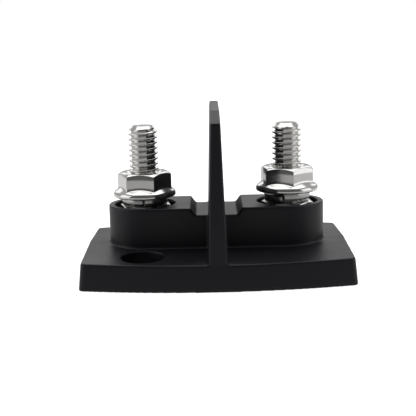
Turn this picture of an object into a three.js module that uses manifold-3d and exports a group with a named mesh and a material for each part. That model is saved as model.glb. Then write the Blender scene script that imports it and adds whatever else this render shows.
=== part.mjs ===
// Dual-stud power junction block: an insulating moulded base with a raised boss, two captive
// threaded terminal studs, a barrier wall between them, and the hardware on each stud.
//
// Units are millimetres. X runs along the base from stud to stud, Y across it, Z up.
// The origin is the centre of the base's underside.

import * as THREE from 'three';
import { mergeVertices } from 'three/addons/utils/BufferGeometryUtils.js';
import Module from 'manifold-3d';

const wasm = await Module();
wasm.setup();

// ---------------------------------------------------------------- dimensions

// Base plate: a rectangle whose long sides bow outwards. Its top falls slightly to front and rear.
const PLATE_LENGTH = 70.2;
const PLATE_END_DEPTH = 44.8;
const PLATE_MID_DEPTH = 52.7;
const PLATE_CORNER = 1.5;
const PLATE_RIDGE = 7.85;
const PLATE_FALL = 0.0442;
const PLATE_DRAFT = 0.095;

// Boss that carries the studs: a stadium in plan, with a lower saddle in the middle.
const STUD_SPACING = 38.1;
const BOSS_WIDTH = 19.4;
const BOSS_TOP = 18.0;
const BOSS_EDGE = 0.4;
const SADDLE_FLOOR = 16.2;
const SADDLE_HALF_FLOOR = 5.5;
const SADDLE_HALF_TOP = 6.8;
const RECESS_RADIUS = 8.1;
const RECESS_FLOOR = 11.8;

// Barrier wall between the studs, tapered in thickness and with sloping top corners.
const WALL_THICK_FOOT = 4.8;
const WALL_THICK_TOP = 2.4;
const WALL_TOP = 43.8;
const WALL_SHOULDER = 41.5;
const WALL_FLAT_HALF = 15.2;
const WALL_EDGE = 0.5;

// Mounting holes: counterbores for screw heads on one diagonal of the plate.
const HOLE_X = 19.05;
const HOLE_Y = 16.6;
const HOLE_RADIUS = 5.45;
const HOLE_FLOOR = 2.6;
const SCREW_RADIUS = 3.3;

// Terminal stud: a hex head held in a pocket under the boss, and a 5/16-18 thread above it.
const THREAD_RADIUS = 3.9;
const THREAD_ROOT = 3.05;
const THREAD_PITCH = 1.4111;
const THREAD_START = 17.6;
const STUD_TOP = 38.9;
const STUD_CHAMFER = 1.1;
const STUD_HEAD_FLATS = 12.7;
const STUD_HEAD_BOTTOM = 1.7;
const STUD_HEAD_TOP = 6.9;
const STUD_HOLE_RADIUS = 4.25;

// Hex pocket for the stud's head, and the round seat of the plug that closes it.
const POCKET_FLATS = 13.3;
const POCKET_CEILING = 7.0;
const PLUG_SEAT_RADIUS = 8.8;
const PLUG_SEAT_DEPTH = 1.4;
const PLUG_RADIUS = 8.5;
const PLUG_THICK = 1.1;

// Hardware on each stud.
const NUT_FLATS = 12.7;
const BORE_RADIUS = 4.08;
const FLAT_WASHER_RADIUS = 7.85;
const FLAT_WASHER_BOTTOM = 11.9;
const FLAT_WASHER_TOP = 13.0;
const JAM_BOTTOM = 13.1;
const JAM_TOP = 18.0;
const LOCK_RADIUS = 6.15;
const LOCK_BORE = 4.1;
const FLANGE_RADIUS = 8.35;
const FLANGE_SLOPE = 0.62;
const NUT_HEIGHT = 6.5;
const ASSEMBLY_GAP = 0.1;

// One entry for each stud: its nuts, lock washer and thread sit a little differently on each.
// Bearings are in degrees; start is the share of a pitch by which the thread is raised.
const STATIONS = [
  { side: 'left', x: -STUD_SPACING / 2, seat: 20.05, rise: 0.15, slit: -90, corner: -67, jamCorner: -132, start: 0.42 },
  { side: 'right', x: STUD_SPACING / 2, seat: 20.8, rise: 0.75, slit: -103, corner: -81, jamCorner: -134, start: 0.25 },
];

// ---------------------------------------------------------------- helpers

const radians = THREE.MathUtils.degToRad;
const Z_UP = Math.PI / 2;

function signedVolume(position, index) {
  const a = new THREE.Vector3();
  const b = new THREE.Vector3();
  const c = new THREE.Vector3();
  let volume = 0;
  for (let i = 0; i < index.length; i += 3) {
    a.fromBufferAttribute(position, index[i]);
    b.fromBufferAttribute(position, index[i + 1]);
    c.fromBufferAttribute(position, index[i + 2]);
    volume += a.dot(b.cross(c)) / 6;
  }
  return volume;
}

// A closed three.js geometry as a manifold solid, with its faces turned outwards.
function solid(geometry) {
  const bare = geometry.clone();
  bare.deleteAttribute('normal');
  bare.deleteAttribute('uv');
  const welded = mergeVertices(bare, 1e-4);
  const position = welded.getAttribute('position');
  const index = Uint32Array.from(welded.index.array);
  if (signedVolume(position, index) < 0) {
    for (let i = 0; i < index.length; i += 3) {
      [index[i + 1], index[i + 2]] = [index[i + 2], index[i + 1]];
    }
  }
  const mesh = new wasm.Mesh({
    numProp: 3,
    vertProperties: Float32Array.from(position.array),
    triVerts: index,
  });
  mesh.merge();
  return new wasm.Manifold(mesh);
}

function geometryOf(manifold) {
  const mesh = manifold.getMesh();
  const geometry = new THREE.BufferGeometry();
  geometry.setAttribute('position', new THREE.BufferAttribute(Float32Array.from(mesh.vertProperties), 3));
  geometry.setIndex(new THREE.BufferAttribute(Uint32Array.from(mesh.triVerts), 1));
  geometry.computeVertexNormals();
  return geometry;
}

function eachVertex(geometry, move) {
  const position = geometry.getAttribute('position');
  const point = new THREE.Vector3();
  for (let i = 0; i < position.count; i += 1) {
    point.fromBufferAttribute(position, i);
    move(point);
    position.setXYZ(i, point.x, point.y, point.z);
  }
  return geometry;
}

// A vertical cylinder between two heights.
function rod(x, y, radius, low, high, segments = 40) {
  const geometry = new THREE.CylinderGeometry(radius, radius, high - low, segments);
  geometry.rotateX(Z_UP);
  geometry.translate(x, y, (low + high) / 2);
  return geometry;
}

// A vertical hexagonal prism, given its size across flats and the bearing of one corner.
function hexPrism(x, y, flats, low, high, corner) {
  const radius = flats / Math.sqrt(3);
  const geometry = new THREE.CylinderGeometry(radius, radius, high - low, 6);
  geometry.rotateX(Z_UP);
  geometry.rotateZ(radians(corner - 90));
  geometry.translate(x, y, (low + high) / 2);
  return geometry;
}

// A solid of revolution about a vertical axis; the profile runs from axis to axis.
function turned(x, y, profile, segments = 40) {
  const points = profile.map(([radius, height]) => new THREE.Vector2(radius, height));
  const geometry = new THREE.LatheGeometry(points, segments);
  geometry.rotateX(Z_UP);
  geometry.translate(x, y, 0);
  return geometry;
}

// A stadium outline, longer along X.
function stadium(length, width, curve = 18) {
  const radius = width / 2;
  const half = length / 2 - radius;
  const points = [];
  for (const [sign, start] of [[1, -90], [-1, 90]]) {
    for (let i = 0; i <= curve; i += 1) {
      const angle = radians(start + (180 * i) / curve);
      points.push(new THREE.Vector2(sign * half + radius * Math.cos(angle), radius * Math.sin(angle)));
    }
  }
  return new THREE.Shape(points);
}

// Extrudes an outline from one height to another, with the edges rounded by the given amount.
function slab(shape, low, high, edge = 0) {
  const options = { depth: high - low - 2 * edge, bevelEnabled: edge > 0, curveSegments: 12 };
  if (edge > 0) {
    options.bevelSize = edge;
    options.bevelOffset = -edge;
    options.bevelThickness = edge;
    options.bevelSegments = 2;
  }
  const geometry = new THREE.ExtrudeGeometry(shape, options);
  geometry.translate(0, 0, low + edge);
  return geometry;
}

// Extrudes an outline drawn in the YZ plane along X, centred on X = 0.
function alongX(shape, length, edge = 0) {
  const geometry = slab(shape, -length / 2, length / 2, edge);
  const basis = new THREE.Matrix4().makeBasis(
    new THREE.Vector3(0, 1, 0),
    new THREE.Vector3(0, 0, 1),
    new THREE.Vector3(1, 0, 0),
  );
  return geometry.applyMatrix4(basis);
}

// ---------------------------------------------------------------- base housing

// The plate's outline: straight ends and shallow bowed sides, joined by rounded corners.
function plateOutline() {
  const halfLength = PLATE_LENGTH / 2;
  const halfDepth = PLATE_END_DEPTH / 2;
  const bow = (PLATE_MID_DEPTH - PLATE_END_DEPTH) / 2;
  const longSide = (t) => new THREE.Vector2(t * halfLength, halfDepth + bow * (1 - t * t));
  const trimLong = 1 - PLATE_CORNER / halfLength;
  const endOfShort = new THREE.Vector2(halfLength, halfDepth - PLATE_CORNER);
  const quarter = [new THREE.Vector2(halfLength, 0)];
  const corner = new THREE.QuadraticBezierCurve(endOfShort, longSide(1), longSide(trimLong));
  quarter.push(...corner.getPoints(5));
  for (let i = 9; i >= 0; i -= 1) {
    quarter.push(longSide((trimLong * i) / 10));
  }
  const mirror = (sx, sy) => quarter.map((p) => new THREE.Vector2(sx * p.x, sy * p.y));
  const loop = [
    ...mirror(1, 1),
    ...mirror(-1, 1).reverse().slice(1),
    ...mirror(-1, -1).slice(1),
    ...mirror(1, -1).reverse().slice(1, -1),
  ];
  return new THREE.Shape(loop);
}

// The drafted plate, cut above by two planes that meet along its long centre line.
function plateSolid() {
  const height = PLATE_RIDGE + 1;
  const geometry = slab(plateOutline(), 0, height);
  eachVertex(geometry, (p) => {
    p.x *= 1 - (PLATE_DRAFT * p.z) / (PLATE_LENGTH / 2);
    p.y *= 1 - (PLATE_DRAFT * p.z) / (PLATE_MID_DEPTH / 2);
  });
  const reach = PLATE_MID_DEPTH / 2 + 5;
  const crown = new THREE.Shape([
    new THREE.Vector2(-reach, -1),
    new THREE.Vector2(reach, -1),
    new THREE.Vector2(reach, PLATE_RIDGE - PLATE_FALL * reach),
    new THREE.Vector2(0, PLATE_RIDGE),
    new THREE.Vector2(-reach, PLATE_RIDGE - PLATE_FALL * reach),
  ]);
  return solid(geometry).intersect(solid(alongX(crown, PLATE_LENGTH + 10)));
}

function bossSolid() {
  const length = STUD_SPACING + BOSS_WIDTH;
  const body = solid(slab(stadium(length, BOSS_WIDTH), 3, BOSS_TOP, BOSS_EDGE));
  const above = BOSS_TOP + 3;
  const spread = SADDLE_HALF_TOP + ((SADDLE_HALF_TOP - SADDLE_HALF_FLOOR) * 3) / (BOSS_TOP - SADDLE_FLOOR);
  const notch = new THREE.Shape([
    new THREE.Vector2(-SADDLE_HALF_FLOOR, SADDLE_FLOOR),
    new THREE.Vector2(SADDLE_HALF_FLOOR, SADDLE_FLOOR),
    new THREE.Vector2(spread, above),
    new THREE.Vector2(-spread, above),
  ]);
  const cut = new THREE.ExtrudeGeometry(notch, { depth: BOSS_WIDTH + 6, bevelEnabled: false });
  cut.rotateX(Z_UP);
  cut.translate(0, BOSS_WIDTH / 2 + 3, 0);
  return body.subtract(solid(cut));
}

// The wall's outline stands in the YZ plane; its thickness shrinks from foot to top.
function wallSolid() {
  const footHeight = PLATE_RIDGE - (PLATE_FALL * PLATE_MID_DEPTH) / 2;
  const foot = PLATE_MID_DEPTH / 2 - PLATE_DRAFT * footHeight;
  const lean = 0.3;
  const outline = new THREE.Shape([
    new THREE.Vector2(-foot + 1, 3),
    new THREE.Vector2(foot - 1, 3),
    new THREE.Vector2(foot, footHeight - 0.3),
    new THREE.Vector2(foot - lean, WALL_SHOULDER),
    new THREE.Vector2(WALL_FLAT_HALF, WALL_TOP),
    new THREE.Vector2(-WALL_FLAT_HALF, WALL_TOP),
    new THREE.Vector2(-foot + lean, WALL_SHOULDER),
    new THREE.Vector2(-foot, footHeight - 0.3),
  ]);
  const geometry = alongX(outline, WALL_THICK_FOOT, WALL_EDGE);
  eachVertex(geometry, (p) => {
    const height = Math.max(p.z - footHeight, 0) / (WALL_TOP - footHeight);
    p.x *= THREE.MathUtils.lerp(1, WALL_THICK_TOP / WALL_THICK_FOOT, height);
  });
  return solid(geometry);
}

function housingGeometry() {
  let body = plateSolid().add(bossSolid()).add(wallSolid());
  for (const station of STATIONS) {
    body = body.subtract(solid(rod(station.x, 0, RECESS_RADIUS, RECESS_FLOOR, BOSS_TOP + 2, 48)));
    body = body.subtract(solid(rod(station.x, 0, STUD_HOLE_RADIUS, -1, RECESS_FLOOR + 1, 32)));
    body = body.subtract(solid(hexPrism(station.x, 0, POCKET_FLATS, -1, POCKET_CEILING, 0)));
    body = body.subtract(solid(rod(station.x, 0, PLUG_SEAT_RADIUS, -1, PLUG_SEAT_DEPTH, 40)));
  }
  for (const sign of [1, -1]) {
    const x = -sign * HOLE_X;
    const y = -sign * HOLE_Y;
    body = body.subtract(solid(rod(x, y, HOLE_RADIUS, HOLE_FLOOR, PLATE_RIDGE + 2, 40)));
    body = body.subtract(solid(rod(x, y, SCREW_RADIUS, -1, HOLE_FLOOR + 1, 32)));
  }
  return geometryOf(body);
}

// ---------------------------------------------------------------- studs and hardware

// Radius of the thread at a phase of 0..1 through one pitch: crest, flank, root, flank.
function threadProfile(phase) {
  const fromCrest = Math.min(phase, 1 - phase) * 2;
  const depth = THREE.MathUtils.clamp((fromCrest - 0.25) / 0.5, 0, 1);
  return THREE.MathUtils.lerp(THREAD_RADIUS, THREAD_ROOT, depth);
}

// A threaded rod: the surface of a cylinder pushed in along a right-hand helix.
function threadedRod(low, high, start) {
  const rows = Math.round(((high - low) / THREAD_PITCH) * 4);
  const geometry = new THREE.CylinderGeometry(THREAD_RADIUS, THREAD_RADIUS, high - low, 16, rows);
  geometry.rotateX(Z_UP);
  geometry.translate(0, 0, (low + high) / 2);
  return eachVertex(geometry, (p) => {
    const radius = Math.hypot(p.x, p.y);
    if (radius < 1e-6) {
      return;
    }
    const turn = Math.atan2(p.y, p.x) / (2 * Math.PI);
    const phase = THREE.MathUtils.euclideanModulo(p.z / THREAD_PITCH - turn - start, 1);
    const chamfer = THREAD_RADIUS - Math.max(0, STUD_CHAMFER - (high - p.z));
    const wanted = Math.min(threadProfile(phase), chamfer);
    p.x *= wanted / radius;
    p.y *= wanted / radius;
  });
}

function studGeometry(station) {
  const thread = threadedRod(THREAD_START, STUD_TOP, station.start);
  thread.translate(station.x, 0, 0);
  const shank = rod(station.x, 0, THREAD_RADIUS, STUD_HEAD_TOP - 1, THREAD_START + 0.5, 32);
  const head = hexPrism(station.x, 0, STUD_HEAD_FLATS, STUD_HEAD_BOTTOM, STUD_HEAD_TOP, 0);
  return geometryOf(solid(head).add(solid(shank)).add(solid(thread)));
}

// A hexagonal nut's body: a prism whose corners are turned off at the top, or at both ends.
function nutBody(station, low, high, corner, bothEnds) {
  const radius = NUT_FLATS / Math.sqrt(3);
  const turnedRadius = NUT_FLATS / 2 - 0.15;
  const fall = (radius + 0.05 - turnedRadius) * Math.tan(radians(30));
  const profile = [
    [0, low],
    [bothEnds ? turnedRadius : radius + 0.05, low],
    [radius + 0.05, bothEnds ? low + fall : low + 0.01],
    [radius + 0.05, high - fall],
    [turnedRadius, high],
    [0, high],
  ];
  const prism = solid(hexPrism(station.x, 0, NUT_FLATS, low - 1, high + 1, corner));
  return prism.intersect(solid(turned(station.x, 0, profile, 48)));
}

function jamNutGeometry(station) {
  const body = nutBody(station, JAM_BOTTOM, JAM_TOP, station.jamCorner, true);
  const bore = solid(rod(station.x, 0, BORE_RADIUS, JAM_BOTTOM - 1, JAM_TOP + 1, 32));
  return geometryOf(body.subtract(bore));
}

function flatWasherGeometry(station) {
  const disc = solid(rod(station.x, 0, FLAT_WASHER_RADIUS, FLAT_WASHER_BOTTOM, FLAT_WASHER_TOP, 40));
  const bore = solid(rod(station.x, 0, BORE_RADIUS, FLAT_WASHER_BOTTOM - 1, FLAT_WASHER_TOP + 1, 32));
  return geometryOf(disc.subtract(bore));
}

// A split ring that climbs slightly from one end of its slit to the other.
function lockWasherGeometry(station) {
  const low = JAM_TOP + ASSEMBLY_GAP;
  const thick = station.seat - ASSEMBLY_GAP - low - station.rise;
  const halfSlit = radians(3.2);
  const shape = new THREE.Shape();
  shape.absarc(0, 0, LOCK_RADIUS, halfSlit, 2 * Math.PI - halfSlit, false);
  shape.absarc(0, 0, LOCK_BORE, 2 * Math.PI - halfSlit, halfSlit, true);
  const geometry = new THREE.ExtrudeGeometry(shape, {
    depth: thick,
    bevelEnabled: false,
    curveSegments: 40,
  });
  eachVertex(geometry, (p) => {
    const turn = THREE.MathUtils.euclideanModulo(Math.atan2(p.y, p.x), 2 * Math.PI);
    p.z += low + station.rise * (1 - turn / (2 * Math.PI));
  });
  geometry.rotateZ(radians(station.slit));
  geometry.translate(station.x, 0, 0);
  return geometryOf(solid(geometry));
}

// A hexagonal nut that stands on a round flange, whose top slopes up from a rounded rim.
function flangeNutGeometry(station) {
  const low = station.seat;
  const top = low + NUT_HEIGHT;
  const shoulder = FLANGE_RADIUS - 0.54;
  const inner = NUT_FLATS / 2 - 0.3;
  const peak = low + 1.63 + (shoulder - inner) * FLANGE_SLOPE;
  const flange = turned(station.x, 0, [
    [0, low],
    [FLANGE_RADIUS - 0.55, low],
    [FLANGE_RADIUS - 0.16, low + 0.16],
    [FLANGE_RADIUS, low + 0.6],
    [FLANGE_RADIUS - 0.15, low + 1.22],
    [shoulder, low + 1.63],
    [inner, peak],
    [0, peak],
  ], 48);
  const hex = nutBody(station, low + 0.6, top, station.corner, false);
  const bore = turned(station.x, 0, [
    [0, low - 1],
    [BORE_RADIUS + 1.4, low - 1],
    [BORE_RADIUS, low + 0.4],
    [BORE_RADIUS, top - 0.4],
    [BORE_RADIUS + 1.4, top + 1],
    [0, top + 1],
  ], 32);
  return geometryOf(solid(flange).add(hex).subtract(solid(bore)));
}

function plugGeometry(station) {
  return geometryOf(solid(turned(station.x, 0, [
    [0, 0],
    [PLUG_RADIUS - 0.2, 0],
    [PLUG_RADIUS, 0.2],
    [PLUG_RADIUS, PLUG_THICK],
    [0, PLUG_THICK],
  ])));
}

// ---------------------------------------------------------------- assembly

const plastic = { color: 0x1b1b1e, roughness: 0.55, metalness: 0.0 };
const plugPlastic = { color: 0x242427, roughness: 0.65, metalness: 0.0 };
const stainless = { color: 0xc9c9c6, roughness: 0.28, metalness: 1.0 };
const washerSteel = { color: 0xb9b9b7, roughness: 0.35, metalness: 1.0 };

function addPiece(parent, name, geometry, look) {
  const mesh = new THREE.Mesh(geometry, new THREE.MeshStandardMaterial(look));
  mesh.name = name;
  parent.add(mesh);
}

const block = new THREE.Group();
addPiece(block, 'base_housing', housingGeometry(), plastic);
for (const station of STATIONS) {
  const stack = new THREE.Group();
  addPiece(stack, `terminal_stud_${station.side}`, studGeometry(station), stainless);
  addPiece(stack, `flat_washer_${station.side}`, flatWasherGeometry(station), washerSteel);
  addPiece(stack, `jam_nut_${station.side}`, jamNutGeometry(station), stainless);
  addPiece(stack, `lock_washer_${station.side}`, lockWasherGeometry(station), washerSteel);
  addPiece(stack, `flange_nut_${station.side}`, flangeNutGeometry(station), stainless);
  addPiece(stack, `pocket_plug_${station.side}`, plugGeometry(station), plugPlastic);
  block.add(stack);
}

export default block;
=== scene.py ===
"""Dual-stud power junction block, laid out as an add-on that builds each piece around a fixed frame.

Everything is in metres. X runs from the left stud to the right one, Y to the rear, Z up, and the
origin is the centre of the base's underside. Each operator builds one piece, or the pair of like
pieces on the two studs, and the last one sets the stage.
"""

import math

import bmesh
import bpy
import numpy as np
from bpy.props import FloatProperty, FloatVectorProperty, IntProperty, PointerProperty
from bpy.types import Operator, Panel, PropertyGroup
from mathutils import Matrix, Vector


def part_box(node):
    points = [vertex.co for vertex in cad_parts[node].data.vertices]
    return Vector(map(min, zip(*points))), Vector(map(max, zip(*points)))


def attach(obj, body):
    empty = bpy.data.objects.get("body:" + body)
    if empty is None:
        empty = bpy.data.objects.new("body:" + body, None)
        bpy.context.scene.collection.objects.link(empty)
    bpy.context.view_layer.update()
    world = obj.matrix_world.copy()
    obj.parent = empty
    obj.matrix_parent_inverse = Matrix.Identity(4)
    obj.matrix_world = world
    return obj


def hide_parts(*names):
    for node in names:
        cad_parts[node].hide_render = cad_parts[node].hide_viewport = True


bl_info = {
    "name": "Dual-stud Junction Block",
    "version": (1, 0, 0),
    "blender": (4, 5, 0),
    "location": "3D View > Sidebar > Junction Block",
    "description": "Builds an insulated power junction block with two threaded studs",
    "category": "Add Mesh",
}

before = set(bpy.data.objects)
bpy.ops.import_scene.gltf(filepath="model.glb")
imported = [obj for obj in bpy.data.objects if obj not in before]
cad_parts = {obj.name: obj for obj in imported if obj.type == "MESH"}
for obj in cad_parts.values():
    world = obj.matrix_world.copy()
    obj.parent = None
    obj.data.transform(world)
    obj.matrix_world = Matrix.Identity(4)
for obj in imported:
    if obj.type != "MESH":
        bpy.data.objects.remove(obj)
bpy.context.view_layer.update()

MM = 0.001
TAU = 2 * math.pi

# Places taken from the frame.
HOUSING_LOW, HOUSING_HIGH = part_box("base_housing")
NUT_LOW, NUT_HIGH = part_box("flange_nut_left")
WASHER_LOW, WASHER_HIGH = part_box("flat_washer_left")
PLUG_LOW, PLUG_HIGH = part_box("pocket_plug_left")

# How each stud's hardware came to rest: bearings of a corner of each nut and of the lock washer's
# slit, and the share of a pitch by which the thread is raised.
SIDES = {
    "left": {
        "corner": math.radians(-67),
        "jam_corner": math.radians(-132),
        "slit": math.radians(-90),
        "start": 0.42,
    },
    "right": {
        "corner": math.radians(-81),
        "jam_corner": math.radians(-134),
        "slit": math.radians(-103),
        "start": 0.25,
    },
}

# One pitch of a rolled thread: share of the pitch, and share of the depth below the crest there.
THREAD_FORM = (
    (-0.1, 0.04), (0.0, 0.0), (0.1, 0.04), (0.155, 0.14), (0.4, 0.86),
    (0.45, 0.97), (0.5, 1.0), (0.55, 0.97), (0.6, 0.86), (0.845, 0.14),
)
CHAMFER_SLOPE = math.tan(math.radians(30))
RUNOUT_SLOPE = 0.6

# The fillet where a nut's hexagon meets its flange: distances out from the hexagon and up from the
# flange's cone, in millimetres.
FLANGE_FILLET = ((0.35, 0.0), (0.16, 0.05), (0.05, 0.14), (0.0, 0.3))
FLANGE_LAND = 0.1 * MM

# How many straight steps stand in for each curve of the housing's outline.
PLATE_CORNER_STEPS = 8
PLATE_SIDE_STEPS = 40
BOSS_END_STEPS = 48
WALL_CORNER_STEPS = 6

# The boss and wall start this far up inside the plate. Cutting tools start below everything, overshoot
# the surface they open, and overlap the next hole down.
SUNK_START = 3 * MM
BELOW_ALL = -1 * MM
SADDLE_OVERSHOOT = 3 * MM
CUT_OVERSHOOT = 2 * MM
CUT_OVERLAP = 1 * MM
TRIM_HALF_LENGTH = 50 * MM
TRIM_MARGIN = 5 * MM

# Depth of the finest relief on each finish.
GRAIN_DEPTH = 0.02 * MM
NUT_LINE_DEPTH = 0.01 * MM
STUD_LINE_DEPTH = 0.004 * MM
WASHER_LINE_DEPTH = 0.006 * MM

# How bright the room is in front of the object and behind it, as shares of the ambient light.
ROOM_FRONT, ROOM_REAR = 0.35, 1.4

# The floor: half its width, its drop below the object, the glow that whitens it in the picture, and
# how bright the object sees it, from a place in front (Y, brightness) to one behind.
FLOOR_HALF = 3.0
FLOOR_DROP = 0.05 * MM
FLOOR_GLOW = 0.8
FLOOR_FRONT = (-0.15, 0.3)
FLOOR_REAR = (0.1, 0.68)

# Soft lamps: name, place, width, height, and how white each would look.
LAMPS = (
    ("Left Panel", (-0.5, -0.12, 0.16), 0.4, 0.5, 1.0),
    ("Right Panel", (0.5, -0.12, 0.16), 0.4, 0.5, 1.0),
    ("Overhead", (0.0, 0.1, 0.6), 0.7, 0.5, 1.3),
    ("Rear Panel", (0.0, 0.6, 0.3), 0.9, 0.3, 0.85),
)
LAMP_AIM = (0.0, 0.0, 20 * MM)


# ---------------------------------------------------------------- sizes and finishes a user can change


def size(name, description, default):
    """A length that can be changed in the sidebar."""
    return FloatProperty(
        name=name, description=description, default=default, min=0.0, unit="LENGTH", precision=5
    )


def share(name, description, default):
    """A plain number from 0 to 1."""
    return FloatProperty(name=name, description=description, default=default, min=0.0, max=1.0, precision=4)


def colour(name, description, default):
    """A surface colour."""
    return FloatVectorProperty(
        name=name, description=description, default=default, min=0.0, max=1.0, size=3, subtype="COLOR"
    )


class HousingSizes(PropertyGroup):
    """Sizes of the moulded housing: plate, boss, barrier wall and holes."""

    plate_end_depth: size("Plate End Depth", "Depth of the plate at its two ends", 44.8 * MM)
    plate_corner: size("Plate Corner", "Length of side that each rounded corner takes up", 1.3 * MM)
    plate_ridge: size("Plate Height", "Height of the plate along its centre line", 7.85 * MM)
    plate_fall: share("Plate Fall", "Drop of the plate's top for each metre from its centre line", 0.0442)
    plate_draft: share("Plate Draft", "Inward lean of the plate's sides for each metre of height", 0.095)
    boss_width: size("Boss Width", "Width of the raised boss, and diameter of its round ends", 19.4 * MM)
    boss_top: size("Boss Top", "Height of the boss", 18.0 * MM)
    saddle_floor: size("Saddle Floor", "Height of the dip in the middle of the boss", 16.2 * MM)
    saddle_half: size("Saddle Half Length", "Half the length of the dip's flat floor", 5.5 * MM)
    saddle_run: size("Saddle Slope Run", "Length that each sloping end of the dip takes up", 1.3 * MM)
    recess_radius: size("Recess Radius", "Radius of the round recess about each stud", 8.1 * MM)
    recess_floor: size("Recess Floor", "Height of the recess's floor", 11.8 * MM)
    wall_foot: size("Wall Foot", "Thickness of the barrier wall at its foot", 4.8 * MM)
    wall_crest: size("Wall Crest", "Thickness of the barrier wall at its top", 2.4 * MM)
    wall_shoulder: size("Wall Shoulder", "Height where the wall's sloping top corners start", 41.5 * MM)
    wall_flat_half: size("Wall Flat Half", "Half the length of the wall's level top", 15.2 * MM)
    wall_lean: size("Wall Lean", "How far the wall's front and rear edges lean in", 0.3 * MM)
    wall_round: size("Wall Edge Radius", "Radius on the wall's upright edges", 0.6 * MM)
    hole_x: size("Hole X", "Distance of each mounting hole from the wall", 19.05 * MM)
    hole_y: size("Hole Y", "Distance of each mounting hole from the centre line", 16.6 * MM)
    hole_radius: size("Counterbore Radius", "Radius of the recess for a screw head", 5.45 * MM)
    hole_floor: size("Counterbore Floor", "Height of the seat for a screw head", 2.6 * MM)
    screw_radius: size("Screw Hole Radius", "Radius of the hole for a screw's shank", 3.3 * MM)
    stud_hole_radius: size("Stud Hole Radius", "Radius of the hole for each stud", 4.25 * MM)
    pocket_flats: size("Pocket Flats", "Size across flats of the pocket for a stud's head", 13.3 * MM)
    pocket_ceiling: size("Pocket Ceiling", "Height of the pocket's ceiling", 7.0 * MM)
    plug_seat_radius: size("Plug Seat Radius", "Radius of the seat that each plug fits", 8.8 * MM)
    plug_seat_depth: size("Plug Seat Depth", "Depth of the seat that each plug fits", 1.4 * MM)
    grid: size("Surface Grid", "Spacing of the fine grid that the housing's skin is laid on", 0.25 * MM)
    rounding: IntProperty(
        name="Edge Rounding", description="Passes that soften the edges", default=5, min=0
    )
    kept: share("Kept Faces", "Share of the fine grid's faces that stay after thinning out", 0.2)


class HardwareSizes(PropertyGroup):
    """Sizes of the studs, nuts and washers."""

    crest: size("Thread Crest", "Radius of the stud's thread at its crests", 3.9 * MM)
    root: size("Thread Root", "Radius of the stud's thread at its roots", 3.05 * MM)
    pitch: size("Thread Pitch", "Height that one turn of the thread climbs", 1.4111 * MM)
    play: size("Thread Play", "Gap between a stud's thread and a nut's", 0.08 * MM)
    stud_chamfer: size("Stud Chamfer", "Width and height of the chamfer on each stud's end", 1.1 * MM)
    head_top: size("Stud Head Top", "Height of the top of each stud's head", 6.9 * MM)
    flats: size("Nut Size", "Size across flats of every hexagon", 12.7 * MM)
    corner_round: size("Hex Corner Radius", "Radius on the hexagons' upright edges", 0.3 * MM)
    turned_back: size("Hex Face Margin", "How far inside the flats the end chamfers start", 0.15 * MM)
    mouth: size("Nut Mouth Radius", "Radius of the countersink at each nut's face", 4.75 * MM)
    flange_edge: size("Flange Lower Radius", "Radius on the lower edge of each nut's flange", 0.55 * MM)
    flange_shoulder: size("Flange Upper Radius", "Radius on the upper edge of each nut's flange", 1.15 * MM)
    flange_slope: share("Flange Slope", "Rise of the flange for each metre in from its rim", 0.62)
    washer_edge: size("Washer Edge Radius", "Radius on the edges of both kinds of washer", 0.22 * MM)
    slit: FloatProperty(
        name="Lock Washer Slit", description="Angle that the lock washer's slit takes up",
        default=math.radians(6.4), min=0.0, subtype="ANGLE",
    )
    left_rise: size("Left Washer Rise", "How far the left lock washer's ends stand apart", 0.15 * MM)
    right_rise: size("Right Washer Rise", "How far the right lock washer's ends stand apart", 0.75 * MM)


class Finishes(PropertyGroup):
    """Colours and roughness of each material."""

    housing: colour("Housing Colour", "Colour of the housing's plastic", (0.0045, 0.0047, 0.0085))
    plug: colour("Plug Colour", "Colour of the plugs' plastic", (0.012, 0.012, 0.013))
    steel: colour("Steel Colour", "Colour of the studs and nuts", (0.74, 0.73, 0.715))
    # The washers' colour is darker than the steel's as painted shade, standing in for the shade they lie in
    # under the nuts and in the recesses.
    washer: colour("Washer Colour", "Colour of the washers", (0.48, 0.475, 0.47))
    housing_rough: share("Housing Roughness", "Roughness of the housing's plastic", 0.42)
    steel_rough: share("Steel Roughness", "Roughness of the studs and nuts", 0.14)


class StageSettings(PropertyGroup):
    """Camera, lights and background."""

    camera_place: FloatVectorProperty(
        name="Camera Place", description="Where the camera stands",
        default=(-1.873 * MM, -256.331 * MM, 65.628 * MM), size=3, subtype="TRANSLATION",
    )
    camera_turn: FloatVectorProperty(
        name="Camera Turn", description="Yaw to the right, pitch down and roll of the camera",
        default=(-0.0013, 0.1905, -0.0230), size=3, subtype="EULER",
    )
    camera_lens: FloatProperty(
        name="Lens", description="Focal length in millimetres on a 36 mm sensor", default=83.85, min=1.0
    )
    ambient: share("Ambient Light", "Brightness of the room as the object sees it", 0.3)
    floor: colour("Floor Colour", "Colour of the floor", (0.9, 0.9, 0.9))


def hardware():
    """The hardware's sizes as they are set now."""
    return bpy.context.scene.block_hardware


# ---------------------------------------------------------------- mesh helpers


def link(mesh):
    """A new object, in the scene, that shows this mesh."""
    made = bpy.data.objects.new(mesh.name, mesh)
    bpy.context.scene.collection.objects.link(made)
    return made


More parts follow.
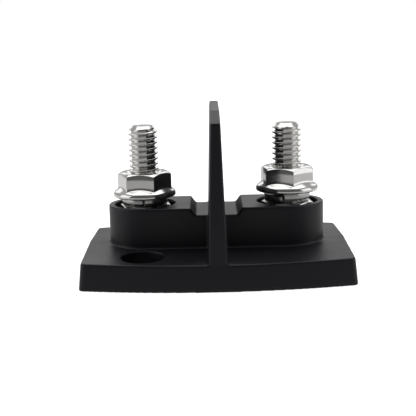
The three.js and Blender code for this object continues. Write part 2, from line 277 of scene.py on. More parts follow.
def weld(name, patches, centre=(0.0, 0.0)):
    """One closed object from grids of points about an upright axis, welded where their edges meet.

    A patch is (points, shift): points run column by column round the axis, and a point in the last
    column joins one that lies shift rows further up in the first.
    """
    points, faces = [], []
    for grid, shift in patches:
        columns, rows = grid.shape[:2]
        start = len(points)
        points.extend(grid.reshape(-1, 3) + np.array((*centre, 0.0)))
        for column in range(columns):
            last = column == columns - 1
            here = start + column * rows
            there = start + (0 if last else (column + 1) * rows)
            step = shift if last else 0
            for row in range(rows - 1 - step):
                faces.append((here + row, there + row + step, there + row + step + 1, here + row + 1))
    mesh = bpy.data.meshes.new(name)
    mesh.from_pydata(points, [], faces)
    work = bmesh.new()
    work.from_mesh(mesh)
    bmesh.ops.remove_doubles(work, verts=work.verts, dist=1e-7)
    bmesh.ops.dissolve_degenerate(work, edges=work.edges, dist=1e-7)
    bmesh.ops.recalc_face_normals(work, faces=work.faces)
    work.to_mesh(mesh)
    work.free()
    return link(mesh)


def loft(name, rings):
    """A closed object whose skin runs through rings of points, with a flat face on each end."""
    count = len(rings[0])
    points = [point for one in rings for point in one]
    faces = [tuple(range(count)), tuple(range(len(points) - count, len(points)))]
    for level in range(len(rings) - 1):
        low = level * count
        for i in range(count):
            after = (i + 1) % count
            faces.append((low + i, low + after, low + count + after, low + count + i))
    mesh = bpy.data.meshes.new(name)
    mesh.from_pydata(points, [], faces)
    work = bmesh.new()
    work.from_mesh(mesh)
    bmesh.ops.recalc_face_normals(work, faces=work.faces)
    work.to_mesh(mesh)
    work.free()
    return link(mesh)


def upright(name, outline, low, high):
    """A closed object with the same outline from one height to another."""
    return loft(name, [[(x, y, z) for x, y in outline] for z in (low, high)])


def circle(x, y, radius, count=64, start=0.0):
    """Points round a circle."""
    angles = [start + TAU * i / count for i in range(count)]
    return [(x + radius * math.cos(a), y + radius * math.sin(a)) for a in angles]


def apply_modifiers(piece):
    """Swaps an object's mesh for the one its modifiers make."""
    bpy.context.view_layer.update()
    shown = piece.evaluated_get(bpy.context.evaluated_depsgraph_get())
    mesh = bpy.data.meshes.new_from_object(shown)
    piece.modifiers.clear()
    piece.data = mesh


def combine(piece, tool, operation):
    """Joins, cuts or trims a piece with a tool, which is then thrown away."""
    step = piece.modifiers.new(operation.title(), "BOOLEAN")
    step.operation = operation
    step.solver = "EXACT"
    step.object = tool
    apply_modifiers(piece)
    bpy.data.objects.remove(tool)


def dress(piece, material, body, node, crease=35):
    """Gives a finished piece its shading, material and place in the frame."""
    piece.data.name = piece.name
    piece.data.materials.clear()
    piece.data.materials.append(material)
    piece.data.shade_smooth()
    piece.data.set_sharp_from_angle(angle=math.radians(crease))
    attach(piece, body)
    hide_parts(node)


# ---------------------------------------------------------------- round and hexagonal hardware


def around(bearings, profile_at):
    """A grid of points: at each bearing, the (radius, height) pairs that profile_at gives."""
    grid = []
    for bearing in bearings:
        profile = profile_at(bearing)
        grid.append([(r * math.cos(bearing), r * math.sin(bearing), z) for r, z in profile])
    return np.array(grid), 0


def even_bearings(count, start=0.0):
    """Bearings spread evenly round a turn."""
    return [start + TAU * i / count for i in range(count)]


def arc(radius, height, bend, start, end, steps=5):
    """Points on a profile's rounded corner, whose centre is given, between two angles in degrees."""
    angles = [math.radians(start + (end - start) * i / steps) for i in range(steps + 1)]
    return [(radius + bend * math.cos(a), height + bend * math.sin(a)) for a in angles]


def hex_corner(flats, bend):
    """For a hexagon with rounded corners: how far out a corner's centre lies, and half its angle."""
    reach = (flats / 2 - bend) / math.cos(math.pi / 6)
    return reach, math.atan2(bend / 2, reach + bend * math.cos(math.pi / 6))


def hex_radius(bearing, corner, flats, bend):
    """Distance from a hexagon's centre to its side, towards a bearing."""
    sixth = math.pi / 3
    off = abs((bearing - corner + sixth / 2) % sixth - sixth / 2)
    reach, half = hex_corner(flats, bend)
    if off < half:
        return reach * math.cos(off) + math.sqrt(bend**2 - (reach * math.sin(off)) ** 2)
    return flats / 2 / math.cos(sixth / 2 - off)


def hex_bearings(corner, flats, bend, face_steps=14):
    """Bearings round a hexagon: a few in each rounded corner, then evenly along the face."""
    half = hex_corner(flats, bend)[1]
    found = []
    for side in range(6):
        middle = corner + side * math.pi / 3
        found += [middle + half * part for part in (-1, -0.5, 0, 0.5)]
        first, last = middle + half, middle + math.pi / 3 - half
        found += [first + (last - first) * i / face_steps for i in range(face_steps)]
    return found


def thread(side, bearings, low, high, limit, play=0.0):
    """A grid of points on a right-hand thread between two heights.

    Its rows follow the helix, and limit(radius, height) trims it at the ends. A nut's thread is
    the stud's own, moved out by the play, so the two mesh wherever the nut has been turned to.
    """
    sizes = hardware()
    first = math.floor(low / sizes.pitch) - 3
    last = math.ceil(high / sizes.pitch) + 2
    rows = [(turn + part, depth) for turn in range(first, last) for part, depth in THREAD_FORM]
    grid = []
    for bearing in bearings:
        column = []
        for turn, depth in rows:
            z = min(max(sizes.pitch * (turn + bearing / TAU + SIDES[side]["start"]), low), high)
            r = limit(sizes.crest + play - depth * (sizes.crest - sizes.root), z)
            column.append((r * math.cos(bearing), r * math.sin(bearing), z))
        grid.append(column)
    return np.array(grid), len(THREAD_FORM)


def nut_thread(side, bearings, low, high):
    """A nut's thread, opening into a countersink at both faces."""
    sizes = hardware()

    def limit(radius, z):
        return max(radius, sizes.mouth - min(z - low, high - z))

    return thread(side, bearings, low, high, limit, sizes.play)


def chamfered_end(radius, face, sign):
    """Profile points over a hexagon's turned end: sign is 1 at the top face and -1 at the bottom."""
    sizes = hardware()
    inner = sizes.flats / 2 - sizes.turned_back
    drop = (radius - inner) * CHAMFER_SLOPE
    ease = 0.05 * MM
    return [
        (radius, face - sign * (drop + ease)),
        (radius - ease * 0.7, face - sign * (drop - ease * 0.2)),
        (inner + ease, face - sign * ease * CHAMFER_SLOPE * 1.6),
        (inner - ease, face),
    ]


def build_flange_nut(side, centre, low, high):
    """A hexagon nut with a sloping round flange below."""
    sizes = hardware()
    corner = SIDES[side]["corner"]
    flange_radius = (NUT_HIGH.x - NUT_LOW.x) / 2
    edge, shoulder = sizes.flange_edge, sizes.flange_shoulder
    rim_end = 90 - math.degrees(math.atan(sizes.flange_slope))
    rim = [
        *arc(flange_radius - edge, low + edge, edge, -90, 0, 5),
        *arc(flange_radius - shoulder, low + edge + FLANGE_LAND, shoulder, 0, rim_end, 7),
    ]

    def slope_height(radius):
        return rim[-1][1] + (rim[-1][0] - radius) * sizes.flange_slope

    def profile(bearing):
        radius = hex_radius(bearing, corner, sizes.flats, sizes.corner_round)
        foot = [
            (radius + out * MM, slope_height(radius + out * MM) + up * MM) for out, up in FLANGE_FILLET
        ]
        middle = [(radius, low + (high - low) * part) for part in (0.5, 0.7)]
        top = chamfered_end(radius, high, 1)
        return [(sizes.mouth, low), *rim, *foot, *middle, *top, (sizes.mouth, high)]

    bearings = hex_bearings(corner, sizes.flats, sizes.corner_round)
    patches = [around(bearings, profile), nut_thread(side, bearings, low, high)]
    return weld(f"flange_nut_{side}_visual", patches, centre)


def build_jam_nut(side, centre, low, high):
    """A plain hexagon nut, chamfered at both faces."""
    sizes = hardware()
    corner = SIDES[side]["jam_corner"]

    def profile(bearing):
        radius = hex_radius(bearing, corner, sizes.flats, sizes.corner_round)
        bottom = chamfered_end(radius, low, -1)[::-1]
        return [(sizes.mouth, low), *bottom, *chamfered_end(radius, high, 1), (sizes.mouth, high)]

    bearings = hex_bearings(corner, sizes.flats, sizes.corner_round, 10)
    patches = [around(bearings, profile), nut_thread(side, bearings, low, high)]
    return weld(f"jam_nut_{side}_visual", patches, centre)


def build_stud(side, centre, low, high):
    """A stud: hexagon head, plain shank, and a thread that ends in a chamfer."""
    sizes = hardware()
    thread_low = WASHER_LOW.z
    tip = sizes.crest - sizes.stud_chamfer
    bearings = even_bearings(72)

    def limit(radius, z):
        runout = sizes.crest - (z - thread_low) * RUNOUT_SLOPE
        return min(max(radius, runout), tip + high - z)

    def head(bearing):
        radius = hex_radius(bearing, 0.0, sizes.flats, 0.01 * MM)
        return [
            (0.0, low), *chamfered_end(radius, low, -1)[::-1],
            (radius, sizes.head_top - 0.05 * MM), (radius - 0.05 * MM, sizes.head_top),
            (sizes.crest + 0.3 * MM, sizes.head_top), (sizes.crest, sizes.head_top + 0.3 * MM),
            (sizes.crest, thread_low),
        ]

    def end(_):
        return [(tip, high), (0.0, high)]

    shank, tip_face = around(bearings, head), around(bearings, end)
    patches = [shank, thread(side, bearings, thread_low, high, limit), tip_face]
    return weld(f"terminal_stud_{side}_visual", patches, centre)


def ring_section(inner, outer, low, high, edge):
    """The cross-section of a flat ring, with rounded corners, as a closed run of points."""
    return [
        *arc(inner + edge, low + edge, edge, 180, 270, 3),
        *arc(outer - edge, low + edge, edge, 270, 360, 3),
        *arc(outer - edge, high - edge, edge, 0, 90, 3),
        *arc(inner + edge, high - edge, edge, 90, 180, 3),
    ]


def build_flat_washer(side, centre, low, high):
    """A plain round washer."""
    sizes = hardware()
    outer = (WASHER_HIGH.x - WASHER_LOW.x) / 2
    section = ring_section(sizes.crest + 0.18 * MM, outer, low, high, sizes.washer_edge)
    section.append(section[0])
    return weld(f"flat_washer_{side}_visual", [around(even_bearings(96), lambda _: section)], centre)


def build_lock_washer(side, centre, low, high):
    """A split ring whose ends stand one above the other."""
    sizes = hardware()
    rise = getattr(sizes, f"{side}_rise")
    lows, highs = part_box(f"lock_washer_{side}")
    outer = (highs.x - lows.x) / 2
    section = ring_section(sizes.crest + 0.2 * MM, outer, low, high - rise, sizes.washer_edge)
    steps = 120
    rings = []
    for i in range(steps + 1):
        turned = (sizes.slit / 2) + (TAU - sizes.slit) * i / steps
        bearing = SIDES[side]["slit"] + turned
        lift = rise * (1 - turned / TAU)
        rings.append([
            (centre[0] + r * math.cos(bearing), centre[1] + r * math.sin(bearing), z + lift)
            for r, z in section
        ])
    return loft(f"lock_washer_{side}_visual", rings)


def build_plug(side, centre, low, high):
    """A thin round cap with a softened edge and a shallow round dish in its underside."""
    radius = (PLUG_HIGH.x - PLUG_LOW.x) / 2
    edge = 0.3 * MM
    groove = 0.25 * MM
    groove_reach = radius * 0.62

    def profile(_):
        return [
            (0.0, low + groove), (groove_reach, low + groove), (groove_reach + groove, low),
            *arc(radius - edge, low + edge, edge, 270, 360, 4),
            *arc(radius - edge, high - edge, edge, 0, 90, 4),
            (0.0, high),
        ]

    return weld(f"pocket_plug_{side}_visual", [around(even_bearings(72), profile)], centre)


def stud_centre(side):
    """Where a stud's axis stands, in X and Y."""
    low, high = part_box(f"terminal_stud_{side}")
    return (low.x + high.x) / 2, (low.y + high.y) / 2


def on_both_studs(node, builder, material, body):
    """Builds a piece on each stud where the frame has its node, and dresses it."""
    for side in SIDES:
        name = f"{node}_{side}"
        low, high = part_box(name)
        piece = builder(side, stud_centre(side), low.z, high.z)
        dress(piece, material, body.format(side=side), name)


# ---------------------------------------------------------------- housing


def plate_outline(sizes):
    """The plate's outline at its foot: straight ends, shallow bowed sides and rounded corners."""
    half_length = HOUSING_HIGH.x
    half_depth = sizes.plate_end_depth / 2
    bow = HOUSING_HIGH.y - half_depth

    def long_side(t):
        return Vector((t * half_length, half_depth + bow * (1 - t * t)))

    trim_long = 1 - sizes.plate_corner / half_length
    start = Vector((half_length, half_depth - sizes.plate_corner))
    peak, end = long_side(1), long_side(trim_long)
    quarter = [Vector((half_length, 0.0))]
    for i in range(PLATE_CORNER_STEPS + 1):
        t = i / PLATE_CORNER_STEPS
        quarter.append(start * (1 - t) ** 2 + peak * 2 * t * (1 - t) + end * t * t)
    quarter += [long_side(trim_long * (1 - i / PLATE_SIDE_STEPS)) for i in range(1, PLATE_SIDE_STEPS + 1)]
    right = quarter + [Vector((-p.x, p.y)) for p in quarter[-2::-1]]
    return right + [Vector((p.x, -p.y)) for p in right[-2:0:-1]]


def build_plate(sizes):
    """The drafted plate, trimmed above by two planes that meet along its long centre line."""
    outline = plate_outline(sizes)
    height = sizes.plate_ridge + CUT_OVERLAP
    rings = []
    for z in (0.0, height):
        across = 1 - sizes.plate_draft * z / HOUSING_HIGH.x
        deep = 1 - sizes.plate_draft * z / HOUSING_HIGH.y
        rings.append([(p.x * across, p.y * deep, z) for p in outline])
    plate = loft("base_housing_visual", rings)
    reach = HOUSING_HIGH.y + TRIM_MARGIN
    edge = sizes.plate_ridge - sizes.plate_fall * reach
    crown = [
        (-reach, BELOW_ALL), (reach, BELOW_ALL), (reach, edge), (0.0, sizes.plate_ridge), (-reach, edge),
    ]
    trim = loft("crown", [[(x, y, z) for y, z in crown] for x in (-TRIM_HALF_LENGTH, TRIM_HALF_LENGTH)])
    combine(plate, trim, "INTERSECT")
    return plate


def build_boss(sizes, spacing):
    """The raised boss: a stadium in plan, longer along X."""
    radius = sizes.boss_width / 2
    outline = []
    for sign, start in ((1, -90), (-1, 90)):
        for i in range(BOSS_END_STEPS + 1):
            angle = math.radians(start + 180 * i / BOSS_END_STEPS)
            outline.append((sign * spacing / 2 + radius * math.cos(angle), radius * math.sin(angle)))
    return upright("boss", outline, SUNK_START, sizes.boss_top)


def build_wall(sizes):
    """The barrier wall: it thins towards the top, its top corners slope, and its edges are rounded."""
    foot = sizes.plate_ridge - sizes.plate_fall * HOUSING_HIGH.y
    depth = HOUSING_HIGH.y - sizes.plate_draft * foot
    top = HOUSING_HIGH.z
    levels = [
        (SUNK_START, depth - 1 * MM),
        (foot, depth),
        (sizes.wall_shoulder, depth - sizes.wall_lean),
        (top, sizes.wall_flat_half),
    ]
    bend = sizes.wall_round
    rings = []
    for z, half_depth in levels:
        part = max(z - foot, 0.0) / (top - foot)
        half = (sizes.wall_foot + (sizes.wall_crest - sizes.wall_foot) * part) / 2
        ring = []
        for turn, (sx, sy) in enumerate(((1, 1), (-1, 1), (-1, -1), (1, -1))):
            for i in range(WALL_CORNER_STEPS + 1):
                angle = math.radians(90 * turn + 90 / WALL_CORNER_STEPS * i)
                x, y = sx * (half - bend), sy * (half_depth - bend)
                ring.append((x + bend * math.cos(angle), y + bend * math.sin(angle), z))
        rings.append(ring)
    return loft("wall", rings)


def build_housing(sizes):
    """The whole housing: plate, boss and wall joined, holes cut, then one fine skin laid over it."""
    studs = [stud_centre(side)[0] for side in SIDES]
    housing = build_plate(sizes)
    boss = build_boss(sizes, studs[1] - studs[0])
    above = sizes.boss_top + SADDLE_OVERSHOOT
    run = sizes.saddle_run * (1 + SADDLE_OVERSHOOT / (sizes.boss_top - sizes.saddle_floor))
    reach = sizes.saddle_half + run
    notch = [
        (-sizes.saddle_half, sizes.saddle_floor), (sizes.saddle_half, sizes.saddle_floor),
        (reach, above), (-reach, above),
    ]
    saddle = loft("saddle", [[(x, y, z) for x, z in notch] for y in (-sizes.boss_width, sizes.boss_width)])
    combine(boss, saddle, "DIFFERENCE")
    combine(housing, boss, "UNION")
    combine(housing, build_wall(sizes), "UNION")
    cuts = []
    for x in studs:
        hexagon = circle(x, 0.0, sizes.pocket_flats / math.sqrt(3), 6)
        cuts += [
            (circle(x, 0.0, sizes.recess_radius, 96), sizes.recess_floor, sizes.boss_top + CUT_OVERSHOOT),
            (circle(x, 0.0, sizes.stud_hole_radius), BELOW_ALL, sizes.recess_floor + CUT_OVERLAP),
            (hexagon, BELOW_ALL, sizes.pocket_ceiling),
            (circle(x, 0.0, sizes.plug_seat_radius, 96), BELOW_ALL, sizes.plug_seat_depth),
        ]
    for sign in (1, -1):
        x, y = -sign * sizes.hole_x, -sign * sizes.hole_y
        cuts += [
            (circle(x, y, sizes.hole_radius, 80), sizes.hole_floor, sizes.plate_ridge + CUT_OVERSHOOT),
            (circle(x, y, sizes.screw_radius), BELOW_ALL, sizes.hole_floor + CUT_OVERLAP),
        ]
    for outline, low, high in cuts:
        combine(housing, upright("cut", outline, low, high), "DIFFERENCE")
    refine(housing, sizes)
    return housing


def refine(housing, sizes):
    """Lays an even skin on the housing, softens its edges, and thins out the flat parts."""
    skin = housing.modifiers.new("Skin", "REMESH")
    skin.mode = "VOXEL"
    skin.voxel_size = sizes.grid
    soften = housing.modifiers.new("Soften", "SMOOTH")
    soften.factor = 0.5
    soften.iterations = sizes.rounding
    thin = housing.modifiers.new("Thin", "DECIMATE")
    thin.ratio = sizes.kept
    apply_modifiers(housing)
    places = np.empty(len(housing.data.vertices) * 3)
    housing.data.vertices.foreach_get("co", places)
    places = np.clip(places.reshape(-1, 3), HOUSING_LOW, HOUSING_HIGH)
    housing.data.vertices.foreach_set("co", places.ravel())
    housing.data.update()


# ---------------------------------------------------------------- materials


def add_node(tree, kind, inputs=None, **settings):
    """A new shader node: settings are its own, and each input is a value or another node's output."""
    made = tree.nodes.new(kind)
    made.location = (190 * (len(tree.nodes) % 9), -260 * (len(tree.nodes) // 9))
    for key, value in settings.items():
        setattr(made, key, value)
    for key, value in (inputs or {}).items():
        if isinstance(value, bpy.types.NodeSocket):
            tree.links.new(value, made.inputs[key])
        else:
            made.inputs[key].default_value = value
    return made


def shader_group(name, inputs, outputs):
    """An empty shader node group with named float or vector sockets, and its two end nodes."""
    tree = bpy.data.node_groups.new(name, "ShaderNodeTree")
    for socket, default in inputs.items():
        kind = "NodeSocketVector" if default is None else "NodeSocketFloat"
        made = tree.interface.new_socket(socket, in_out="INPUT", socket_type=kind)
        if default is not None:
            made.default_value = default
    for socket in outputs:
        tree.interface.new_socket(socket, in_out="OUTPUT", socket_type="NodeSocketFloat")
    return tree, tree.nodes.new("NodeGroupInput"), tree.nodes.new("NodeGroupOutput")


def moulded_grain():
    """Group: the fine spark-eroded grain of a mould, and slow blotches in its gloss."""
    name = "Moulded Grain"
    if name in bpy.data.node_groups:
        return bpy.data.node_groups[name]
    tree, start, end = shader_group(name, {"Vector": None, "Grain Scale": 5200.0}, ("Height", "Mottle"))
    fine = add_node(tree, "ShaderNodeTexNoise", {
        "Vector": start.outputs["Vector"], "Scale": start.outputs["Grain Scale"],
        "Detail": 3.0, "Roughness": 0.6})
    slow = add_node(tree, "ShaderNodeTexNoise", {
        "Vector": start.outputs["Vector"], "Scale": 90.0, "Detail": 4.0, "Roughness": 0.55})
    tree.links.new(fine.outputs["Fac"], end.inputs["Height"])
    tree.links.new(slow.outputs["Fac"], end.inputs["Mottle"])
    return tree


def edge_wear():
    """Group: a mask that is 1 on rubbed outer edges, broken up by noise."""
    name = "Edge Wear"
    if name in bpy.data.node_groups:
        return bpy.data.node_groups[name]
    tree, start, end = shader_group(name, {"Vector": None, "Low": 0.52, "High": 0.6}, ("Mask",))
    geometry = add_node(tree, "ShaderNodeNewGeometry")
    edge = add_node(tree, "ShaderNodeMapRange", {
        "Value": geometry.outputs["Pointiness"], "From Min": start.outputs["Low"],
        "From Max": start.outputs["High"]}, interpolation_type="SMOOTHSTEP")
    patchy = add_node(tree, "ShaderNodeTexNoise", {
        "Vector": start.outputs["Vector"], "Scale": 420.0, "Detail": 3.0})
    broken = add_node(tree, "ShaderNodeMapRange", {
        "Value": patchy.outputs["Fac"], "From Min": 0.35, "From Max": 0.7})
    mask = add_node(tree, "ShaderNodeMath", {0: edge.outputs["Result"], 1: broken.outputs["Result"]},
                    operation="MULTIPLY")
    tree.links.new(mask.outputs["Value"], end.inputs["Mask"])
    return tree


def drawn_lines():
    """Group: fine level lines left by drawing or turning, and faint smudges."""
    name = "Drawn Lines"
    if name in bpy.data.node_groups:
        return bpy.data.node_groups[name]
    tree, start, end = shader_group(name, {"Vector": None, "Line Scale": 9000.0}, ("Lines", "Smudge"))
    squeeze = add_node(tree, "ShaderNodeVectorMath", {0: start.outputs["Vector"], 1: (0.05, 0.05, 1.0)},
                       operation="MULTIPLY")
    lines = add_node(tree, "ShaderNodeTexNoise", {
        "Vector": squeeze.outputs["Vector"], "Scale": start.outputs["Line Scale"], "Detail": 4.0,
        "Roughness": 0.65})
    smudge = add_node(tree, "ShaderNodeTexNoise", {
        "Vector": start.outputs["Vector"], "Scale": 260.0, "Detail": 4.0, "Roughness": 0.6})
    tree.links.new(lines.outputs["Fac"], end.inputs["Lines"])
    tree.links.new(smudge.outputs["Fac"], end.inputs["Smudge"])
    return tree


def new_material(name):
    """A material with only its Principled shader, and that shader and tree."""
    made = bpy.data.materials.new(name)
    made.use_nodes = True
    tree = made.node_tree
    return made, tree, tree.nodes["Principled BSDF"]


def varied(tree, value, low, high):
    """A 0 to 1 value stretched to run from low to high."""
    return add_node(tree, "ShaderNodeMapRange", {
        "Value": value, "From Min": 0.3, "From Max": 0.7, "To Min": low, "To Max": high}).outputs["Result"]


def mixed(tree, factor, first, second):
    """A colour between two others."""
    made = add_node(tree, "ShaderNodeMix", {"Factor": factor}, data_type="RGBA")
    for socket, value in ((made.inputs[6], first), (made.inputs[7], second)):
        if isinstance(value, bpy.types.NodeSocket):
            tree.links.new(value, socket)
        else:
            socket.default_value = (*value, 1.0)
    return made.outputs[2]


def moulded_plastic(name, base, roughness, grain_depth):
    """Satin black plastic: mould grain, slow changes in gloss, and edges rubbed a little paler."""
    made, tree, shader = new_material(name)
    place = add_node(tree, "ShaderNodeTexCoord").outputs["Object"]
    grain = add_node(tree, "ShaderNodeGroup", node_tree=moulded_grain())
    wear = add_node(tree, "ShaderNodeGroup", node_tree=edge_wear())
    for group in (grain, wear):
        tree.links.new(place, group.inputs["Vector"])
    base = Vector(base)
    body = mixed(tree, grain.outputs["Mottle"], base * 0.8, base * 1.25)
    worn = mixed(tree, wear.outputs["Mask"], body, base * 3.0)
    bump = add_node(tree, "ShaderNodeBump", {
        "Height": grain.outputs["Height"], "Strength": 0.35, "Distance": grain_depth})
    tree.links.new(worn, shader.inputs["Base Color"])
    tree.links.new(varied(tree, grain.outputs["Mottle"], roughness - 0.03, roughness + 0.05),
                   shader.inputs["Roughness"])
    tree.links.new(bump.outputs["Normal"], shader.inputs["Normal"])
    shader.inputs["Specular IOR Level"].default_value = 0.37
    return made


def drawn_steel(name, base, roughness, line_depth, spread=0.06):
    """Bright stainless steel: level drawing lines, faint smudges, and edges polished by handling."""
    made, tree, shader = new_material(name)
    place = add_node(tree, "ShaderNodeTexCoord").outputs["Object"]
    lines = add_node(tree, "ShaderNodeGroup", node_tree=drawn_lines())
    wear = add_node(tree, "ShaderNodeGroup", node_tree=edge_wear())
    for group in (lines, wear):
        tree.links.new(place, group.inputs["Vector"])
    base = Vector(base)
    body = mixed(tree, lines.outputs["Smudge"], base * 0.93, base * 1.04)
    polished = mixed(tree, wear.outputs["Mask"], body, base * 1.1)
    bump = add_node(tree, "ShaderNodeBump", {
        "Height": lines.outputs["Lines"], "Strength": 0.25, "Distance": line_depth})
    tree.links.new(polished, shader.inputs["Base Color"])
    tree.links.new(varied(tree, lines.outputs["Lines"], roughness - spread, roughness + spread),
                   shader.inputs["Roughness"])
    tree.links.new(bump.outputs["Normal"], shader.inputs["Normal"])
    shader.inputs["Metallic"].default_value = 1.0
    return made


def kept_material(name, make):
    """The material of this name, made the first time it is asked for."""
    return bpy.data.materials.get(name) or make()


def nut_steel():
    """Finish of the studs' nuts."""
    looks = bpy.context.scene.block_finishes
    return kept_material("Nut Steel", lambda: drawn_steel(
        "Nut Steel", looks.steel, looks.steel_rough, NUT_LINE_DEPTH))


def stud_steel():
    """Finish of the rolled studs."""
    looks = bpy.context.scene.block_finishes
    return kept_material("Stud Steel", lambda: drawn_steel(
        "Stud Steel", looks.steel, looks.steel_rough, STUD_LINE_DEPTH))


def washer_steel_painted_shade():
    """Finish of the stamped washers: rougher than the nuts, and darker in colour as painted shade for the
    shade they lie in under the nuts and in the recesses.
    """
    looks = bpy.context.scene.block_finishes
    return kept_material("Washer Steel", lambda: drawn_steel(
        "Washer Steel", looks.washer, looks.steel_rough + 0.1, WASHER_LINE_DEPTH))


# ---------------------------------------------------------------- stage


def soft_panel(name, place, width, height, brightness):
    """A soft rectangular lamp that faces the object. Its brightness is how white it would look."""
    lamp = bpy.data.lights.new(name, "AREA")
    lamp.shape = "RECTANGLE"
    lamp.size, lamp.size_y = width, height
    lamp.energy = brightness * math.pi * width * height
    made = bpy.data.objects.new(name, lamp)
    made.location = place
    made.rotation_euler = (Vector(LAMP_AIM) - Vector(place)).to_track_quat("-Z", "Y").to_euler()
    bpy.context.scene.collection.objects.link(made)


def build_world(ambient):
    """A white backdrop that lights the object only softly, and more from behind than from in front."""
    world = bpy.data.worlds.new("Studio")
    world.use_nodes = True
    tree = world.node_tree
    tree.nodes.clear()
    path = add_node(tree, "ShaderNodeLightPath")
    seen = add_node(tree, "ShaderNodeBackground", {"Color": (1, 1, 1, 1), "Strength": 1.0})
    split = add_node(tree, "ShaderNodeSeparateXYZ", {
        "Vector": add_node(tree, "ShaderNodeTexCoord").outputs["Generated"]})
    ramp = add_node(tree, "ShaderNodeMapRange", {
        "Value": split.outputs["Y"], "From Min": -0.6, "From Max": 0.5,
        "To Min": ambient * ROOM_FRONT, "To Max": ambient * ROOM_REAR}, interpolation_type="SMOOTHSTEP")
    lit = add_node(tree, "ShaderNodeBackground", {
        "Color": (1, 1, 1, 1), "Strength": ramp.outputs["Result"]})
    mix = add_node(tree, "ShaderNodeMixShader", {
        0: path.outputs["Is Camera Ray"], 1: lit.outputs[0], 2: seen.outputs[0]})
    add_node(tree, "ShaderNodeOutputWorld", {"Surface": mix.outputs[0]})
    bpy.context.scene.world = world


def build_floor(shade):
    """A wide pale floor just below the object. From below it can be seen through.

    The object sees it dim in front and bright behind, like a table lit from the rear.
    """
    corners = [(sx * FLOOR_HALF, sy * FLOOR_HALF, 0) for sx, sy in ((-1, -1), (1, -1), (1, 1), (-1, 1))]
    mesh = bpy.data.meshes.new("floor")
    mesh.from_pydata(corners, [], [(0, 1, 2, 3)])
    floor = link(mesh)
    floor.location.z = -FLOOR_DROP
    material = bpy.data.materials.new("Floor")
    material.use_nodes = True
    tree = material.node_tree
    tree.nodes.clear()
    path = add_node(tree, "ShaderNodeLightPath")
    side = add_node(tree, "ShaderNodeNewGeometry")
    matt = add_node(tree, "ShaderNodeBsdfDiffuse", {"Color": (*shade, 1)})
    glow = add_node(tree, "ShaderNodeEmission", {"Color": (1, 1, 1, 1), "Strength": FLOOR_GLOW})
    bright = add_node(tree, "ShaderNodeAddShader", {0: matt.outputs[0], 1: glow.outputs[0]})
    split = add_node(tree, "ShaderNodeSeparateXYZ", {
        "Vector": add_node(tree, "ShaderNodeTexCoord").outputs["Object"]})
    ramp = add_node(tree, "ShaderNodeMapRange", {
        "Value": split.outputs["Y"], "From Min": FLOOR_FRONT[0], "From Max": FLOOR_REAR[0],
        "To Min": FLOOR_FRONT[1], "To Max": FLOOR_REAR[1]}, interpolation_type="SMOOTHSTEP")
    sheen = add_node(tree, "ShaderNodeEmission", {
        "Color": (1, 1, 1, 1), "Strength": ramp.outputs["Result"]})
    grey = add_node(tree, "ShaderNodeBsdfDiffuse", {"Color": (0.15, 0.15, 0.15, 1)})
    dim = add_node(tree, "ShaderNodeAddShader", {0: grey.outputs[0], 1: sheen.outputs[0]})
    seen = add_node(tree, "ShaderNodeMixShader", {
        0: path.outputs["Is Camera Ray"], 1: dim.outputs[0], 2: bright.outputs[0]})
    clear = add_node(tree, "ShaderNodeBsdfTransparent")
    both = add_node(tree, "ShaderNodeMixShader", {
        0: side.outputs["Backfacing"], 1: seen.outputs[0], 2: clear.outputs[0]})
    add_node(tree, "ShaderNodeOutputMaterial", {"Surface": both.outputs[0]})
    mesh.materials.append(material)


def build_camera(stage):
    """The camera, from where it stands and its yaw, pitch and roll."""
    yaw, pitch, roll = stage.camera_turn
    level = Vector((math.cos(yaw), -math.sin(yaw), 0))
    ahead = Vector((math.cos(pitch) * math.sin(yaw), math.cos(pitch) * math.cos(yaw), -math.sin(pitch)))
    above = level.cross(ahead)
    across = math.cos(roll) * level + math.sin(roll) * above
    upward = math.cos(roll) * above - math.sin(roll) * level
    turn = Matrix((across, upward, -ahead)).transposed()
    lens = bpy.data.cameras.new("Camera")
    lens.lens = stage.camera_lens
    lens.sensor_width = 36.0
    lens.clip_start, lens.clip_end = 0.005, 20.0
    camera = bpy.data.objects.new("Camera", lens)
    camera.matrix_world = Matrix.Translation(stage.camera_place) @ turn.to_4x4()
    bpy.context.scene.collection.objects.link(camera)
    bpy.context.scene.camera = camera


# ---------------------------------------------------------------- operators


class BLOCK_OT_housing(Operator):
    """Build the moulded housing"""

    bl_idname = "junction_block.housing"
    bl_label = "Housing"
    bl_options = {"REGISTER", "UNDO"}

    def execute(self, context):
        looks = context.scene.block_finishes
        housing = build_housing(context.scene.block_housing)
        material = moulded_plastic("Housing Plastic", looks.housing, looks.housing_rough, GRAIN_DEPTH)
        dress(housing, material, "block", "base_housing", crease=60)
        normals = housing.modifiers.new("Flat Faces", "WEIGHTED_NORMAL")
        normals.keep_sharp = True
        return {"FINISHED"}


class BLOCK_OT_plugs(Operator):
    """Build the plug under each stud"""

    bl_idname = "junction_block.plugs"
    bl_label = "Pocket Plugs"
    bl_options = {"REGISTER", "UNDO"}

    def execute(self, context):
        looks = context.scene.block_finishes
        material = moulded_plastic("Plug Plastic", looks.plug, looks.housing_rough + 0.1, GRAIN_DEPTH)
        on_both_studs("pocket_plug", build_plug, material, "block")
        return {"FINISHED"}


class BLOCK_OT_studs(Operator):
    """Build the two threaded studs"""

    bl_idname = "junction_block.studs"
    bl_label = "Studs"
    bl_options = {"REGISTER", "UNDO"}

    def execute(self, context):
        on_both_studs("terminal_stud", build_stud, stud_steel(), "block")
        return {"FINISHED"}


class BLOCK_OT_seat_hardware(Operator):
    """Build the flat washer and jam nut in each recess"""

    bl_idname = "junction_block.seat_hardware"
    bl_label = "Flat Washers and Jam Nuts"
    bl_options = {"REGISTER", "UNDO"}

    def execute(self, context):
        on_both_studs("flat_washer", build_flat_washer, washer_steel_painted_shade(), "block")
        on_both_studs("jam_nut", build_jam_nut, nut_steel(), "block")
        return {"FINISHED"}


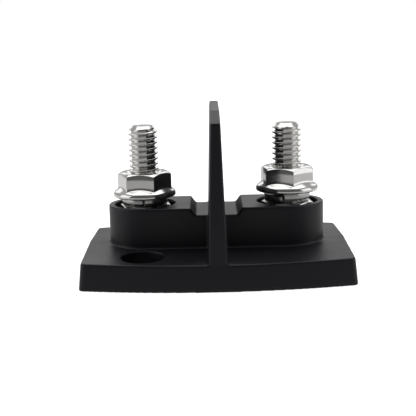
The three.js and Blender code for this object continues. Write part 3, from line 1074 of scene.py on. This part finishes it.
class BLOCK_OT_lock_washers(Operator):
    """Build the split lock washer on each stud"""

    bl_idname = "junction_block.lock_washers"
    bl_label = "Lock Washers"
    bl_options = {"REGISTER", "UNDO"}

    def execute(self, context):
        on_both_studs("lock_washer", build_lock_washer, washer_steel_painted_shade(), "{side}_washer")
        return {"FINISHED"}


class BLOCK_OT_flange_nuts(Operator):
    """Build the flange nut on each stud"""

    bl_idname = "junction_block.flange_nuts"
    bl_label = "Flange Nuts"
    bl_options = {"REGISTER", "UNDO"}

    def execute(self, context):
        on_both_studs("flange_nut", build_flange_nut, nut_steel(), "{side}_nut")
        return {"FINISHED"}


class BLOCK_OT_stage(Operator):
    """Set up the floor, lights and camera"""

    bl_idname = "junction_block.stage"
    bl_label = "Stage"
    bl_options = {"REGISTER", "UNDO"}

    def execute(self, context):
        stage = context.scene.block_stage
        build_world(stage.ambient)
        build_floor(stage.floor)
        for lamp in LAMPS:
            soft_panel(*lamp)
        build_camera(stage)
        context.scene.view_settings.view_transform = "Standard"
        return {"FINISHED"}


class BLOCK_PT_sidebar(Panel):
    """Build buttons and the sizes and finishes behind them"""

    bl_label = "Junction Block"
    bl_space_type = "VIEW_3D"
    bl_region_type = "UI"
    bl_category = "Junction Block"

    def draw(self, context):
        for operator in OPERATORS:
            self.layout.operator(operator.bl_idname)
        for attribute, group in SETTINGS.items():
            box = self.layout.box()
            box.label(text=group.__doc__)
            for prop in group.__annotations__:
                box.prop(getattr(context.scene, attribute), prop)


OPERATORS = (
    BLOCK_OT_housing, BLOCK_OT_plugs, BLOCK_OT_studs, BLOCK_OT_seat_hardware,
    BLOCK_OT_lock_washers, BLOCK_OT_flange_nuts, BLOCK_OT_stage,
)
SETTINGS = {
    "block_housing": HousingSizes,
    "block_hardware": HardwareSizes,
    "block_finishes": Finishes,
    "block_stage": StageSettings,
}


def register():
    """Makes the settings, operators and panel known to Blender."""
    for made in (*SETTINGS.values(), *OPERATORS, BLOCK_PT_sidebar):
        bpy.utils.register_class(made)
    for attribute, group in SETTINGS.items():
        setattr(bpy.types.Scene, attribute, PointerProperty(type=group))


def unregister():
    """Takes them away again."""
    for attribute in SETTINGS:
        delattr(bpy.types.Scene, attribute)
    for made in (BLOCK_PT_sidebar, *reversed(OPERATORS), *reversed(SETTINGS.values())):
        bpy.utils.unregister_class(made)


def main():
    """Builds the block and its stage."""
    register()
    bpy.ops.junction_block.housing()
    bpy.ops.junction_block.plugs()
    bpy.ops.junction_block.studs()
    bpy.ops.junction_block.seat_hardware()
    bpy.ops.junction_block.lock_washers()
    bpy.ops.junction_block.flange_nuts()
    bpy.ops.junction_block.stage()


if __name__ == "__main__":
    main()
